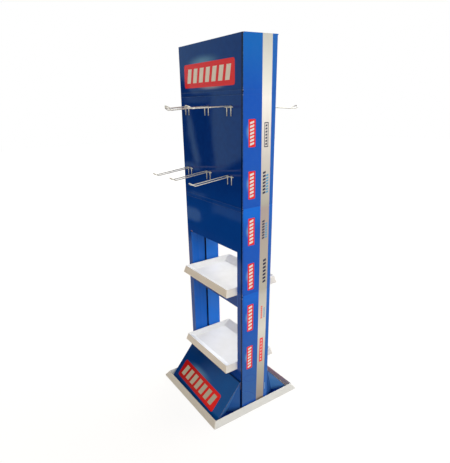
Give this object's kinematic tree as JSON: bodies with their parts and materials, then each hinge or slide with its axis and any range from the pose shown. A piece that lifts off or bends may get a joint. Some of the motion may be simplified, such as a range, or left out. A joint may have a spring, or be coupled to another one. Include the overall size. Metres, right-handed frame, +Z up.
{
  "type": "cardboard display stand",
  "caption": "Tall printed cardboard display stand with wire hooks, white plastic shelves through its windows, sloping printed skirts and a white plastic foot tray.",
  "frame": {"origin": "on the floor under the middle of the stand's box, which is the middle of the tower", "axes": "+Z up, -Y towards the shopper (the face with two rows of hooks), +X to the shopper's right"},
  "size_m": [0.494, 0.5307, 1.6],
  "materials": {
    "tower_board": "gloss laminated print",
    "skirt_board": "gloss laminated print",
    "tray_plastic": "satin formed sheet",
    "shelf_plastic": "satin formed sheet",
    "hook_wire": "bright zinc plated wire"
  },
  "bodies": {
    "root": {"front_wrap": "tower_board", "rear_wrap": "tower_board", "front_skirt": "skirt_board", "rear_skirt": "skirt_board", "base_tray": "tray_plastic", "upper_shelf": "shelf_plastic", "lower_shelf": "shelf_plastic", "hook_upper_left": "hook_wire", "hook_upper_middle": "hook_wire", "hook_upper_right": "hook_wire", "hook_lower_left": "hook_wire", "hook_lower_middle": "hook_wire", "hook_lower_right": "hook_wire", "rear_hook_left": "hook_wire", "rear_hook_middle": "hook_wire", "rear_hook_right": "hook_wire"}
  },
  "joints": []
}
